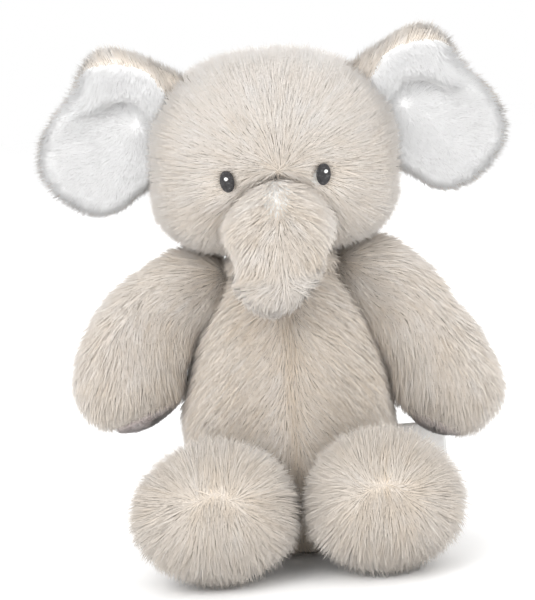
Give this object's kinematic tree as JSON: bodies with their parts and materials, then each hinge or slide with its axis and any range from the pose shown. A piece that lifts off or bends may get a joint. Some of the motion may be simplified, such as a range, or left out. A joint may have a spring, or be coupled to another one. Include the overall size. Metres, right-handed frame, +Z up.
{
  "type": "stuffed elephant",
  "caption": "Seated plush elephant with round lined ears, a soft trunk that curls down, drooping arms, round feet and a tufted tail.",
  "frame": {"origin": "middle of the flat seat, on the surface it rests on", "axes": "+Z up, -Y the way the toy faces, +X its own left"},
  "size_m": [0.2424, 0.1935, 0.2584],
  "materials": {
    "cream_plush": "long soft pile",
    "white_short_plush": "short dense pile",
    "charcoal_embroidery": "satin stitch",
    "white_embroidery": "satin stitch",
    "mauve_suede": "brushed",
    "satin_ribbon": "satin weave",
    "sewing_thread": "twisted thread",
    "fibre_filling": "loose fibre",
    "bag_cloth": "plain weave",
    "pellets": "smooth"
  },
  "bodies": {
    "torso": {"torso_skin": "cream_plush", "torso_filling": "fibre_filling", "pellet_bag": "bag_cloth", "pellets": "pellets", "closing_stitches": "sewing_thread", "side_label": "satin_ribbon"},
    "neck": {"neck_filling": "fibre_filling", "neck_thread": "sewing_thread"},
    "head": {"head_skin": "cream_plush", "head_filling": "fibre_filling", "left_eye": "charcoal_embroidery", "left_eye_highlight": "white_embroidery", "right_eye": "charcoal_embroidery", "right_eye_highlight": "white_embroidery"},
    "trunk": {"trunk_skin": "cream_plush", "trunk_filling": "fibre_filling"},
    "left_ear": {"left_ear_back": "cream_plush", "left_ear_lining": "white_short_plush"},
    "right_ear": {"right_ear_back": "cream_plush", "right_ear_lining": "white_short_plush"},
    "left_arm": {"left_arm_skin": "cream_plush", "left_arm_filling": "fibre_filling", "left_paw_pad": "mauve_suede"},
    "right_arm": {"right_arm_skin": "cream_plush", "right_arm_filling": "fibre_filling", "right_paw_pad": "mauve_suede"},
    "left_leg": {"left_leg_skin": "cream_plush", "left_leg_filling": "fibre_filling"},
    "right_leg": {"right_leg_skin": "cream_plush", "right_leg_filling": "fibre_filling"},
    "tail": {"tail_skin": "cream_plush", "tail_tuft": "cream_plush"}
  },
  "joints": [
    {"name": "neck_turn", "type": "hinge", "parent": "torso", "child": "neck", "pos_m": [0, 0, 0.146], "axis": [0, 0, 1], "range_deg": [-25, 25]},
    {"name": "head_nod", "type": "hinge", "parent": "neck", "child": "head", "pos_m": [0, 0, 0.14], "axis": [1, 0, 0], "range_deg": [-12, 10]},
    {"name": "trunk_lift", "type": "hinge", "parent": "head", "child": "trunk", "pos_m": [0, -0.042, 0.175], "axis": [-1, 0, 0], "range_deg": [0, 15]},
    {"name": "left_ear_flap", "type": "hinge", "parent": "head", "child": "left_ear", "pos_m": [0.0565, 0.0035, 0.2163], "axis": [0.4147, 0, -0.91], "range_deg": [-20, 20]},
    {"name": "right_ear_flap", "type": "hinge", "parent": "head", "child": "right_ear", "pos_m": [-0.0565, 0.0035, 0.2163], "axis": [0.4147, 0, 0.91], "range_deg": [-20, 20]},
    {"name": "left_arm_raise", "type": "hinge", "parent": "torso", "child": "left_arm", "pos_m": [0.0405, 0, 0.135], "axis": [0, -1, 0], "range_deg": [0, 45]},
    {"name": "right_arm_raise", "type": "hinge", "parent": "torso", "child": "right_arm", "pos_m": [-0.0405, 0, 0.135], "axis": [0, 1, 0], "range_deg": [0, 45]},
    {"name": "left_leg_splay", "type": "hinge", "parent": "torso", "child": "left_leg", "pos_m": [0.03, -0.028, 0.0333], "axis": [0, 0, 1], "range_deg": [-3, 18]},
    {"name": "right_leg_splay", "type": "hinge", "parent": "torso", "child": "right_leg", "pos_m": [-0.03, -0.028, 0.0333], "axis": [0, 0, -1], "range_deg": [-3, 18]},
    {"name": "tail_swing", "type": "hinge", "parent": "torso", "child": "tail", "pos_m": [0, 0.0526, 0.042], "axis": [0, 0, 1], "range_deg": [-30, 30]}
  ]
}
